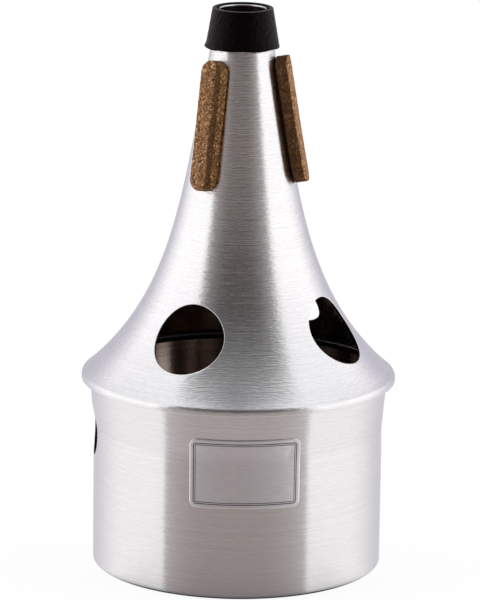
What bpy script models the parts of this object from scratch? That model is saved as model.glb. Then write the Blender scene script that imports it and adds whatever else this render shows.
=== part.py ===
"""Trumpet bucket mute: a spun cone and bucket, an end sleeve, three cork strips and a label plate.

Metres, +Z up. The origin is the middle of the bucket's base, which stands on the ground plane.
Azimuths are degrees around the Z axis. Azimuth 0 faces -Y, the front, and +90 faces +X.
"""

import math

import bmesh
import bpy
from mathutils import Matrix, Vector

MM = 0.001

# Bucket
BUCKET_RADIUS = 50.0 * MM
BUCKET_WALL = 1.0 * MM
BASE_EDGE_RADIUS = 0.8 * MM
COLLAR_START = 49.0 * MM
COLLAR_OPENING = 1.6 * MM
SIDE_HOLE_DIAMETER = 18.1 * MM
SIDE_HOLE_HEIGHT = 46.9 * MM
SIDE_HOLE_AZIMUTH = -85.4
SIDE_HOLE_COUNT = 2

# Flare and cone
LIP_HEIGHT = 65.2 * MM
LIP_DROP = 1.3 * MM
LIP_OVERHANG = 4.5 * MM
LIP_CORNER_RADIUS = 1.6 * MM
CONE_LENGTH = 127.4 * MM
CONE_TAPER = 0.170
FLARE_POWER = 5.2
NECK_RADIUS = 8.6 * MM
FLARE_WALL = 1.0 * MM
FLARE_HOLE_DIAMETER = 25.4 * MM
FLARE_HOLE_RISE = 19.4 * MM
FLARE_HOLE_AZIMUTH = -27.7
FLARE_HOLE_COUNT = 4

# End sleeve
SLEEVE_LENGTH = 13.9 * MM
SLEEVE_WALL = 1.5 * MM
SLEEVE_TOP_OVERLAP = 0.6 * MM
SLEEVE_EDGE_RADIUS = 0.5 * MM

# Cork strips, each trimmed and glued by hand: its length, the drop of its upper end below the
# cone's top, its azimuth, and its lean in degrees, to the right as seen from outside
CORK_STRIPS = (
    (44.4 * MM, 16.7 * MM, -38.7, -1.3),
    (43.9 * MM, 16.1 * MM, 79.2, 1.0),
    (44.5 * MM, 16.7 * MM, 200.3, 0.0),
)
CORK_WIDTH = 8.7 * MM
CORK_THICKNESS = 4.2 * MM
CORK_EDGE_RADIUS = 0.35 * MM

# Label plate
LABEL_WIDTH = 38.0 * MM
LABEL_HEIGHT = 24.0 * MM
LABEL_THICKNESS = 0.25 * MM
LABEL_CORNER_RADIUS = 2.5 * MM
LABEL_TOP_DROP = 9.3 * MM
LABEL_AZIMUTH = 3.1

# Clearances between pieces that touch on the real object
SEAT_CLEARANCE = 0.3 * MM
GLUE_CLEARANCE = 0.3 * MM
SLEEVE_CLEARANCE = 0.3 * MM
LABEL_CLEARANCE = 0.2 * MM

# Steps of the turned and bent shapes
TURN_STEPS = 72
FLARE_STEPS = 20
SLEEVE_STEPS = 3
CORNER_STEPS = 3
HOLE_STEPS = 40
CORK_STEPS = 9
CORK_END_STEPS = 5
EDGE_STEPS = 2
FLARE_STEP_CROWDING = 1.7
CUTTER_REACH = 12.0 * MM
SMOOTH_ANGLE = math.radians(35.0)
WELD_DISTANCE = 0.001 * MM
SLOPE_STEP = 0.01 * MM
HALVINGS = 60

LIP_RADIUS = BUCKET_RADIUS + LIP_OVERHANG
LIP_CORNER_HEIGHT = LIP_HEIGHT + LIP_DROP
CONE_TOP = LIP_CORNER_HEIGHT + CONE_LENGTH
SLEEVE_TOP = CONE_TOP + SLEEVE_TOP_OVERLAP


def flare_radius(height):
    """Outer radius of the cone and its bell-shaped flare at a height."""
    above = (height - LIP_CORNER_HEIGHT) / CONE_LENGTH
    straight = NECK_RADIUS + CONE_TAPER * CONE_LENGTH * (1.0 - above)
    bell = LIP_RADIUS - NECK_RADIUS - CONE_TAPER * CONE_LENGTH
    return straight + bell * max(0.0, 1.0 - above) ** FLARE_POWER


def flare_normal(height):
    """Outward unit normal of the flare at a height, as (radial, vertical)."""
    run = flare_radius(height - SLOPE_STEP) - flare_radius(height + SLOPE_STEP)
    return Vector((2.0 * SLOPE_STEP, run)).normalized()


def offset_flare(height, distance):
    """Point (radius, height) that lies a distance off the flare's outer surface."""
    normal = flare_normal(height)
    return Vector((flare_radius(height) + distance * normal.x, height + distance * normal.y))


def height_on_offset(target, value, distance, low, high):
    """Height on the flare whose offset point has the wanted radius (0) or height (1)."""
    rising = offset_flare(high, distance)[target] > offset_flare(low, distance)[target]
    for _ in range(HALVINGS):
        middle = 0.5 * (low + high)
        if (offset_flare(middle, distance)[target] < value) == rising:
            low = middle
        else:
            high = middle
    return 0.5 * (low + high)


def rounded_corner(before, corner, after, radius, steps):
    """Points of an arc that rounds the corner of a profile."""
    to_before = (before - corner).normalized()
    to_after = (after - corner).normalized()
    half_angle = 0.5 * to_before.angle(to_after)
    tangent_length = radius / math.tan(half_angle)
    start = corner + to_before * tangent_length
    end = corner + to_after * tangent_length
    bisector = (to_before + to_after).normalized()
    centre = corner + bisector * (radius / math.sin(half_angle))
    points = []
    for index in range(steps + 1):
        blend = start.lerp(end, index / steps) - centre
        points.append(centre + blend.normalized() * radius)
    return points


def new_collection(name):
    """Collection in the scene."""
    collection = bpy.data.collections.new(name)
    bpy.context.scene.collection.children.link(collection)
    return collection


def new_material(name, colour, roughness, metallic):
    """Plain material of one colour."""
    material = bpy.data.materials.new(name)
    material.use_nodes = True
    material.diffuse_color = (*colour, 1.0)
    shader = material.node_tree.nodes["Principled BSDF"]
    shader.inputs["Base Color"].default_value = (*colour, 1.0)
    shader.inputs["Roughness"].default_value = roughness
    shader.inputs["Metallic"].default_value = metallic
    return material


def turned_shell(name, profile, wall, collection):
    """Shell of even wall from an outer profile, given as (radius, height) from top to bottom."""
    mesh = bpy.data.meshes.new(name)
    points = [(point.x, 0.0, point.y) for point in profile]
    edges = [(index, index + 1) for index in range(len(points) - 1)]
    mesh.from_pydata(points, edges, [])
    shell = bpy.data.objects.new(name, mesh)
    collection.objects.link(shell)

    screw = shell.modifiers.new("turn", "SCREW")
    screw.axis = "Z"
    screw.angle = math.tau
    screw.steps = TURN_STEPS
    screw.render_steps = TURN_STEPS
    screw.use_merge_vertices = True
    screw.merge_threshold = WELD_DISTANCE
    screw.use_smooth_shade = True

    solidify = shell.modifiers.new("wall", "SOLIDIFY")
    solidify.thickness = wall
    solidify.offset = -1.0
    solidify.use_even_offset = True
    return shell


def hole_cutter(name, diameter, centre, direction, collection):
    """Round cutter whose axis passes through a point on the surface, along its normal."""
    mesh = bpy.data.meshes.new(name)
    shape = bmesh.new()
    bmesh.ops.create_cone(
        shape,
        cap_ends=True,
        segments=HOLE_STEPS,
        radius1=0.5 * diameter,
        radius2=0.5 * diameter,
        depth=2.0 * CUTTER_REACH,
    )
    shape.to_mesh(mesh)
    shape.free()
    cutter = bpy.data.objects.new(name, mesh)
    cutter.location = centre
    cutter.rotation_mode = "QUATERNION"
    cutter.rotation_quaternion = direction.to_track_quat("Z", "Y")
    cutter.hide_render = True
    cutter.display_type = "WIRE"
    collection.objects.link(cutter)
    return cutter


def cut(target, cutter):
    """Cut a hole in a piece."""
    boolean = target.modifiers.new(cutter.name, "BOOLEAN")
    boolean.operation = "DIFFERENCE"
    boolean.solver = "EXACT"
    boolean.object = cutter


def flat_plate(outline, thickness):
    """Closed mesh of a flat plate in the XY plane, from a smooth closed outline."""
    curve = bpy.data.curves.new("outline", "CURVE")
    curve.dimensions = "2D"
    curve.fill_mode = "BOTH"
    curve.extrude = 0.5 * thickness
    spline = curve.splines.new("POLY")
    spline.points.add(len(outline) - 1)
    for point, place in zip(spline.points, outline):
        point.co = (place[0], place[1], 0.0, 1.0)
    spline.use_cyclic_u = True
    outline_object = bpy.data.objects.new("outline", curve)
    bpy.context.scene.collection.objects.link(outline_object)
    graph = bpy.context.evaluated_depsgraph_get()
    mesh = bpy.data.meshes.new_from_object(outline_object.evaluated_get(graph))
    bpy.data.objects.remove(outline_object)
    bpy.data.curves.remove(curve)
    plate = bmesh.new()
    plate.from_mesh(mesh)
    bpy.data.meshes.remove(mesh)
    bmesh.ops.remove_doubles(plate, verts=plate.verts, dist=WELD_DISTANCE)
    bmesh.ops.recalc_face_normals(plate, faces=plate.faces)
    return plate


def slice_plate(plate, axis, positions):
    """Cut a plate's faces across, so that it can bend at each position along an axis."""
    normal = Vector((0.0, 0.0, 0.0))
    normal[axis] = 1.0
    for position in positions:
        everything = list(plate.verts) + list(plate.edges) + list(plate.faces)
        bmesh.ops.bisect_plane(
            plate,
            geom=everything,
            dist=WELD_DISTANCE,
            plane_co=normal * position,
            plane_no=normal,
        )


def rounded_outline(width, height, radius, steps):
    """Closed outline of a rectangle with round corners, centred on the origin."""
    outline = []
    for quarter in range(4):
        across = 1.0 if quarter in (0, 3) else -1.0
        along = 1.0 if quarter in (0, 1) else -1.0
        centre_x = across * (0.5 * width - radius)
        centre_y = along * (0.5 * height - radius)
        for index in range(steps + 1):
            angle = 0.5 * math.pi * (quarter + index / steps)
            outline.append((centre_x + radius * math.cos(angle), centre_y + radius * math.sin(angle)))
    distinct = []
    for place in outline:
        if not distinct or math.dist(place, distinct[-1]) > WELD_DISTANCE:
            distinct.append(place)
    if math.dist(distinct[0], distinct[-1]) <= WELD_DISTANCE:
        distinct.pop()
    return distinct


def plate_object(name, plate, collection):
    """Piece made of a finished plate."""
    mesh = bpy.data.meshes.new(name)
    plate.to_mesh(mesh)
    plate.free()
    piece = bpy.data.objects.new(name, mesh)
    collection.objects.link(piece)
    return piece


def round_edges(piece, width, segments):
    """Round a piece's sharp edges."""
    bevel = piece.modifiers.new("round_edges", "BEVEL")
    bevel.width = width
    bevel.segments = segments
    bevel.limit_method = "ANGLE"
    bevel.angle_limit = SMOOTH_ANGLE


def smooth(piece):
    """Shade a piece smooth, apart from its sharp edges."""
    piece.data.shade_smooth()
    piece.data.set_sharp_from_angle(angle=SMOOTH_ANGLE)


def finish(piece, material, parent):
    """Give a piece its material and its place under the mute's origin."""
    piece.data.materials.append(material)
    piece.parent = parent


def seat_height():
    """Height at which the bucket's rim meets the inside of the flare."""
    reach = -(FLARE_WALL + SEAT_CLEARANCE)
    rim_radius = BUCKET_RADIUS + COLLAR_OPENING
    place = height_on_offset(0, rim_radius, reach, LIP_CORNER_HEIGHT, CONE_TOP)
    return offset_flare(place, reach).y


def bucket_radius(height):
    """Outer radius of the bucket's wall, which opens evenly from the collar's start to the rim."""
    share = (height - COLLAR_START) / (seat_height() - COLLAR_START)
    return BUCKET_RADIUS + COLLAR_OPENING * max(0.0, share)


def make_bucket(parts, cutters):
    """Cup with a closed base, an opened collar and round holes in its side."""
    rim_height = seat_height()
    rim = Vector((bucket_radius(rim_height), rim_height))
    collar = Vector((bucket_radius(COLLAR_START), COLLAR_START))
    edge = Vector((BUCKET_RADIUS, 0.0))
    middle = Vector((0.0, 0.0))
    profile = [rim, collar]
    profile += rounded_corner(collar, edge, middle, BASE_EDGE_RADIUS, CORNER_STEPS)
    profile.append(middle)
    bucket = turned_shell("bucket", profile, BUCKET_WALL, parts)
    for index in range(SIDE_HOLE_COUNT):
        azimuth = math.radians(SIDE_HOLE_AZIMUTH + 360.0 * index / SIDE_HOLE_COUNT)
        outward = Vector((math.sin(azimuth), -math.cos(azimuth), 0.0))
        centre = outward * BUCKET_RADIUS + Vector((0.0, 0.0, SIDE_HOLE_HEIGHT))
        name = f"side_hole_{index + 1}"
        cut(bucket, hole_cutter(name, SIDE_HOLE_DIAMETER, centre, outward, cutters))
    return bucket


def make_flare(parts, cutters):
    """Cone that opens into a bell, with a turned-down lip and four round holes."""
    heights = []
    for index in range(FLARE_STEPS + 1):
        share = index / FLARE_STEPS
        rise = CONE_LENGTH * (1.0 - share) ** FLARE_STEP_CROWDING
        heights.append(LIP_CORNER_HEIGHT + rise)
    curve = [Vector((flare_radius(height), height)) for height in heights]
    corner = curve.pop()
    edge = Vector((LIP_RADIUS, LIP_HEIGHT))
    before = curve[-1]
    profile = curve + rounded_corner(before, corner, edge, LIP_CORNER_RADIUS, CORNER_STEPS)
    profile.append(edge)
    flare = turned_shell("flare", profile, FLARE_WALL, parts)
    hole_height = LIP_CORNER_HEIGHT + FLARE_HOLE_RISE
    slope = flare_normal(hole_height)
    for index in range(FLARE_HOLE_COUNT):
        azimuth = math.radians(FLARE_HOLE_AZIMUTH + 360.0 * index / FLARE_HOLE_COUNT)
        outward = Vector((math.sin(azimuth), -math.cos(azimuth), 0.0))
        centre = outward * flare_radius(hole_height) + Vector((0.0, 0.0, hole_height))
        direction = outward * slope.x + Vector((0.0, 0.0, slope.y))
        name = f"flare_hole_{index + 1}"
        cut(flare, hole_cutter(name, FLARE_HOLE_DIAMETER, centre, direction, cutters))
    return flare


def make_sleeve(parts):
    """Sleeve stretched over the small end of the cone."""
    distance = SLEEVE_CLEARANCE + SLEEVE_WALL
    profile = []
    for index in range(SLEEVE_STEPS + 1):
        level = SLEEVE_TOP - SLEEVE_LENGTH * index / SLEEVE_STEPS
        place = height_on_offset(1, level, distance, LIP_CORNER_HEIGHT, SLEEVE_TOP)
        profile.append(offset_flare(place, distance))
    sleeve = turned_shell("end_sleeve", profile, SLEEVE_WALL, parts)
    round_edges(sleeve, SLEEVE_EDGE_RADIUS, EDGE_STEPS)
    return sleeve


def bend_on_cone(plate, length, top_drop, azimuth, lean):
    """Bend a flat plate along the cone: Y runs up the cone, X across it and Z off its surface."""
    bmesh.ops.rotate(plate, verts=plate.verts, cent=Vector(), matrix=Matrix.Rotation(-lean, 3, "Z"))
    outward = Vector((math.sin(azimuth), -math.cos(azimuth), 0.0))
    across = Vector((math.cos(azimuth), math.sin(azimuth), 0.0))
    middle_layer = GLUE_CLEARANCE + 0.5 * CORK_THICKNESS
    top = CONE_TOP - top_drop
    for vertex in plate.verts:
        height = top - (0.5 * length - vertex.co.y) * flare_normal(top).x
        place = offset_flare(height, middle_layer + vertex.co.z)
        sideways = across * vertex.co.x
        vertex.co = outward * place.x + sideways + Vector((0.0, 0.0, place.y))


def make_cork(name, strip, parts):
    """Cork strip with round ends, glued along the cone."""
    length, top_drop, azimuth, lean = strip
    outline = rounded_outline(CORK_WIDTH, length, 0.5 * CORK_WIDTH, CORK_END_STEPS)
    plate = flat_plate(outline, CORK_THICKNESS)
    positions = []
    for step in range(1, CORK_STEPS):
        positions.append(length * (step / CORK_STEPS - 0.5))
    slice_plate(plate, 1, positions)
    bend_on_cone(plate, length, top_drop, math.radians(azimuth), math.radians(lean))
    cork = plate_object(name, plate, parts)
    round_edges(cork, CORK_EDGE_RADIUS, 1)
    return cork


def make_label(parts):
    """Blank plate with round corners, curved round the bucket's front and up its collar."""
    outline = rounded_outline(LABEL_WIDTH, LABEL_HEIGHT, LABEL_CORNER_RADIUS, CORNER_STEPS)
    plate = flat_plate(outline, LABEL_THICKNESS)
    stand_off = LABEL_CLEARANCE + 0.5 * LABEL_THICKNESS
    middle_radius = BUCKET_RADIUS + stand_off
    step = math.tau / TURN_STEPS
    half_angle = 0.5 * LABEL_WIDTH / middle_radius
    centre_angle = math.radians(LABEL_AZIMUTH)
    first = math.ceil((centre_angle - half_angle) / step)
    last = math.floor((centre_angle + half_angle) / step)
    positions = []
    for index in range(first, last + 1):
        positions.append((index * step - centre_angle) * middle_radius)
    slice_plate(plate, 0, positions)
    level = LIP_HEIGHT - LABEL_TOP_DROP - 0.5 * LABEL_HEIGHT
    slice_plate(plate, 1, [COLLAR_START - level])
    for vertex in plate.verts:
        angle = centre_angle + vertex.co.x / middle_radius
        height = level + vertex.co.y
        radius = bucket_radius(height) + stand_off + vertex.co.z
        vertex.co = (radius * math.sin(angle), -radius * math.cos(angle), height)
    return plate_object("label_plate", plate, parts)


def main():
    for leftover in list(bpy.data.objects):
        bpy.data.objects.remove(leftover)

    parts = new_collection("bucket_mute")
    cutters = new_collection("cutters")
    stand = bpy.data.objects.new("mute_origin", None)
    parts.objects.link(stand)

    aluminium = new_material("spun_aluminium", (0.80, 0.79, 0.80), 0.32, 1.0)
    rubber = new_material("black_rubber", (0.025, 0.022, 0.024), 0.85, 0.0)
    cork = new_material("cork", (0.36, 0.22, 0.11), 0.9, 0.0)
    foil = new_material("label_foil", (0.62, 0.60, 0.60), 0.4, 1.0)

    finish(make_bucket(parts, cutters), aluminium, stand)
    finish(make_flare(parts, cutters), aluminium, stand)
    finish(make_sleeve(parts), rubber, stand)
    for index, strip in enumerate(CORK_STRIPS):
        piece = make_cork(f"cork_strip_{index + 1}", strip, parts)
        smooth(piece)
        finish(piece, cork, stand)
    label = make_label(parts)
    smooth(label)
    finish(label, foil, stand)


main()
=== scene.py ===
"""Trumpet bucket mute: detailed pieces, materials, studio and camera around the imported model.

Metres, +Z up. The origin is the middle of the bucket's base. Azimuths are degrees around the
Z axis. Azimuth 0 faces -Y, the front, and +90 faces +X.
"""

import math

import bpy
import numpy as np
from mathutils import Matrix, Vector, noise


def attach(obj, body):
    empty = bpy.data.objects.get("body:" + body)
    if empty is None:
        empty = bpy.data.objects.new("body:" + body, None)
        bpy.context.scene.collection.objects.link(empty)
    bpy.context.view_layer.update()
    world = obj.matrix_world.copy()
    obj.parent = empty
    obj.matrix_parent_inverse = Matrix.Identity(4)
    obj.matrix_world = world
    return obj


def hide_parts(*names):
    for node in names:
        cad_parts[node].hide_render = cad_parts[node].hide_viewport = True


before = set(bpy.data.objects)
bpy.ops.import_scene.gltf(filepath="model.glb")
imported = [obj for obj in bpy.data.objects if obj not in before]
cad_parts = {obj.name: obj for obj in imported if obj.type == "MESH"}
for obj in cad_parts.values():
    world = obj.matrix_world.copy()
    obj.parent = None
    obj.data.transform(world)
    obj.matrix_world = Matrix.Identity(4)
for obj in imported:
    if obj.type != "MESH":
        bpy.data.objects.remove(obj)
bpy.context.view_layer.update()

MM = 0.001

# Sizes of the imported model
BUCKET_RADIUS = 50.0 * MM
COLLAR_START = 49.0 * MM
COLLAR_OPENING = 1.6 * MM
RIM_HEIGHT = 67.4 * MM
BASE_EDGE_RADIUS = 0.9 * MM
WALL = 1.0 * MM
SIDE_HOLE_DIAMETER = 18.1 * MM
SIDE_HOLE_HEIGHT = 46.9 * MM
SIDE_HOLE_AZIMUTH = -85.4
SIDE_HOLE_COUNT = 2
LIP_BASE = 66.5 * MM
LIP_EDGE = 65.0 * MM
LIP_RADIUS = 54.5 * MM
CONE_LENGTH = 127.4 * MM
CONE_TOP = LIP_BASE + CONE_LENGTH
CONE_TAPER = 0.170
FLARE_POWER = 5.2
NECK_RADIUS = 8.6 * MM
FLARE_HOLE_DIAMETER = 25.4 * MM
FLARE_HOLE_HEIGHT = 85.9 * MM
FLARE_HOLE_AZIMUTH = -27.7
FLARE_HOLE_COUNT = 4
SLEEVE_TOP = 194.05 * MM
SLEEVE_BOTTOM = 180.5 * MM
SLEEVE_GAP = 0.3 * MM
SLEEVE_WALL = 1.5 * MM
CORK_WIDTH = 8.7 * MM
CORK_THICKNESS = 4.2 * MM
CORK_GAP = 0.3 * MM

# Each cork strip's length, the height of its upper end, its azimuth and its lean in degrees
CORK_STRIPS = (
    (44.4 * MM, 177.2 * MM, -38.7, -1.3),
    (43.9 * MM, 177.8 * MM, 79.2, 1.0),
    (44.5 * MM, 177.2 * MM, 200.3, 0.0),
)
LABEL_WIDTH = 38.0 * MM
LABEL_HEIGHT = 24.0 * MM
LABEL_MIDDLE = 43.9 * MM
LABEL_AZIMUTH = 3.1
LABEL_CORNER = 2.5 * MM
LABEL_GAP = 0.2 * MM
LABEL_THICKNESS = 0.25 * MM

# Shape of the lip, which flares out a little more just above its bend, and of the cut edges
LIP_SPREAD = 1.0 * MM
LIP_SPREAD_FADE = 0.75 * MM
LIP_BEND_START = 1.16 * MM
LIP_BEND_RADIUS = 2.0 * MM
LIP_FACE_ANGLE = 0.0
CUT_EDGE = 0.16 * MM
NECK_ROUNDING = 0.3 * MM

# Half height of the black band at the joint of the shells, and depth of the bright bore
JOINT_BAND = 1.7 * MM
BRIGHT_BORE = 1.1 * MM

# Sleeve: rounding of its edges, height of its back rim over its front rim, how far its lower
# left edge stands out, and how far these waves reach from each end
SLEEVE_EDGE = 0.2 * MM
SLEEVE_BACK_RISE = 0.32 * MM
SLEEVE_FLICK = 0.5 * MM
SLEEVE_WAVE_REACH = 3.0 * MM

# Cork strips: rounding of the outer edge, crown of the worn outer face and depth of the
# crown's edges, and where each strip's pale face ends and its painted dark ridge of shade
# begins, in half widths from its middle
CORK_ROUNDING = 0.3 * MM
CORK_CROWN = 0.4 * MM
CORK_CROWN_DROP = 0.15 * MM
CORK_PAINTED_RIDGE_STARTS = (0.42, 4.0, 4.0)

# Painted shade on each strip's sides and back, where less light falls on them. A value under 0 is
# darker than plain cork
CORK_SIDE_PAINTED_SHADES = (0.0, -0.8, -0.2)

# Steps of the meshes, and the width and the ring shares of the patch of faces round a hole
TURNED_STEPS = 192
SLEEVE_STEPS = 160
CORK_STRAIGHT_STEPS = 78
CORK_END_STEPS = 26
LABEL_COLUMNS = 60
LABEL_ROWS = 36
LABEL_CORNER_STEPS = 6
SLOPE_STEP = 0.01 * MM
ON_AXIS = 1e-7
HOLE_PATCH = 3.2 * MM
HOLE_RING_SHARES = (0.22, 0.42, 0.6, 0.75, 0.87, 0.95, 1.0)
# The dark slot is almost black: the band at the shells' joint, and painted shade on the holes' walls
# and the neck's end
SLOT_OUTSIDE, SLOT_EDGE, SLOT_INSIDE, SLOT_DARK = 0, 1, 2, 3

# Camera: its place in millimetres, its tilt and roll in degrees, and its focal length and
# shift in pixels of a frame that is 600 pixels high
CAMERA_PLACE = (0.0, -1337.952, 412.169)
CAMERA_DOWN = 13.45
CAMERA_ROLL = 0.73
FOCAL_PIXELS = 3991.0
SHIFT_PIXELS = 0.72
FRAME_PIXELS = 600.0
SENSOR_WIDTH = 36.0


# Shapes


def flare_radius(height):
    """Outer radius of the cone and its flare at a height."""
    above = (height - LIP_BASE) / CONE_LENGTH
    straight = NECK_RADIUS + CONE_TAPER * CONE_LENGTH * (1.0 - above)
    bell = LIP_RADIUS - NECK_RADIUS - CONE_TAPER * CONE_LENGTH
    spread = LIP_SPREAD * np.exp((LIP_BASE - height) / LIP_SPREAD_FADE)
    return straight + bell * np.maximum(0.0, 1.0 - above) ** FLARE_POWER + spread


def bucket_radius(height):
    """Outer radius of the bucket's wall, with a soft bend where the collar starts."""
    slope = COLLAR_OPENING / (RIM_HEIGHT - COLLAR_START)
    over = height - COLLAR_START
    soft = 1.5 * MM
    bend = np.clip((over + soft) / (2.0 * soft), 0.0, 1.0)
    return BUCKET_RADIUS + slope * np.where(over > soft, over, soft * bend * bend)


def slope_at(radius_of, height, step=SLOPE_STEP):
    """Change of a turned surface's radius with height."""
    return (radius_of(height + step) - radius_of(height - step)) / (2.0 * step)


def surface_point(radius_of, azimuth, height, depth):
    """Point that lies a depth under a turned surface, for arrays of azimuths and heights."""
    slope = slope_at(radius_of, height)
    length = np.sqrt(1.0 + slope * slope)
    radius = radius_of(height) - depth / length
    level = height + depth * slope / length
    return np.stack([radius * np.sin(azimuth), -radius * np.cos(azimuth), level], axis=-1)


class MeshMaker:
    """Collects faces, each with a material slot, and points, each with one value for the looks.

    The value is the length along the profile for metals, and for cork how pale it is, with painted
    light and shade in it.
    """

    def __init__(self):
        self.points = []
        self.along = []
        self.faces = []
        self.slots = []

    def add_points(self, points, along):
        start = len(self.points)
        self.points.extend(tuple(point) for point in points)
        self.along.extend(float(value) for value in along)
        return list(range(start, len(self.points)))

    def add_face(self, corners, slot):
        distinct = []
        for corner in corners:
            if corner not in distinct:
                distinct.append(corner)
        if len(distinct) > 2:
            self.faces.append(distinct)
            self.slots.append(slot)

    def bridge(self, first, second, slot, flip=False, closed=True):
        """Faces between two rows of points of equal length."""
        count = len(first)
        for index in range(count if closed else count - 1):
            after = (index + 1) % count
            corners = [first[index], second[index], second[after], first[after]]
            self.add_face(corners[::-1] if flip else corners, slot)

    def drop_unused_points(self):
        used = sorted({corner for face in self.faces for corner in face})
        place = {old: new for new, old in enumerate(used)}
        self.points = [self.points[old] for old in used]
        self.along = [self.along[old] for old in used]
        self.faces = [[place[corner] for corner in face] for face in self.faces]

    def build(self, name, materials):
        self.drop_unused_points()
        mesh = bpy.data.meshes.new(name)
        mesh.from_pydata(self.points, [], self.faces)
        mesh.validate()
        for material in materials:
            mesh.materials.append(material)
        mesh.polygons.foreach_set("material_index", self.slots)
        arc = mesh.attributes.new("arc", "FLOAT", "POINT")
        arc.data.foreach_set("value", self.along)
        mesh.shade_smooth()
        mesh.update()
        piece = bpy.data.objects.new(name, mesh)
        bpy.context.scene.collection.objects.link(piece)
        return piece


def arc_points(centre, radius, start, end, steps):
    """Profile points (radius, height) of an arc between two elevations in degrees."""
    angles = np.radians(np.linspace(start, end, steps + 1))
    return [(centre[0] + radius * math.cos(a), centre[1] + radius * math.sin(a)) for a in angles]


def arc_lengths(profile):
    """Length along a profile up to each of its points."""
    steps = np.hypot(*np.diff(np.array(profile), axis=0).T)
    return np.concatenate([[0.0], np.cumsum(steps)])


def hole_outline(radius_of, hole, angles, radius, depth):
    """Azimuths and heights where a round cutter meets a turned surface at a depth."""
    azimuth0, height0 = hole
    centre = surface_point(radius_of, np.array(azimuth0), np.array(height0), 0.0)
    slope = slope_at(radius_of, height0)
    across = np.array([math.cos(azimuth0), math.sin(azimuth0), 0.0])
    outward = np.array([math.sin(azimuth0), -math.cos(azimuth0), 0.0])
    upward = np.array([0.0, 0.0, 1.0]) + slope * outward
    upward /= np.linalg.norm(upward)
    wanted = np.stack([np.cos(angles), np.sin(angles)], axis=-1) * radius

    def measured(azimuth, height):
        offset = surface_point(radius_of, azimuth, height, depth) - centre
        return np.stack([offset @ across, offset @ upward], axis=-1)

    azimuth = azimuth0 + wanted[:, 0] / radius_of(height0)
    height = height0 + wanted[:, 1] * upward[2]
    turn, rise = 1e-4, 1e-6
    for _ in range(8):
        here = measured(azimuth, height)
        miss = wanted - here
        by_turn = (measured(azimuth + turn, height) - here) / turn
        by_rise = (measured(azimuth, height + rise) - here) / rise
        size = by_turn[:, 0] * by_rise[:, 1] - by_turn[:, 1] * by_rise[:, 0]
        azimuth = azimuth + (miss[:, 0] * by_rise[:, 1] - miss[:, 1] * by_rise[:, 0]) / size
        height = height + (by_turn[:, 0] * miss[:, 1] - by_turn[:, 1] * miss[:, 0]) / size
    return azimuth, height


def block_border(high_row, low_row, left, right):
    """Rows and columns of a block's border, once round with the clock, seen from outside."""
    down = 1 if low_row > high_row else -1
    border = [(high_row, column) for column in range(left, right)]
    border += [(row, right) for row in range(high_row, low_row, down)]
    border += [(low_row, column) for column in range(right, left, -1)]
    border += [(row, left) for row in range(low_row, high_row, -down)]
    return border


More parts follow.
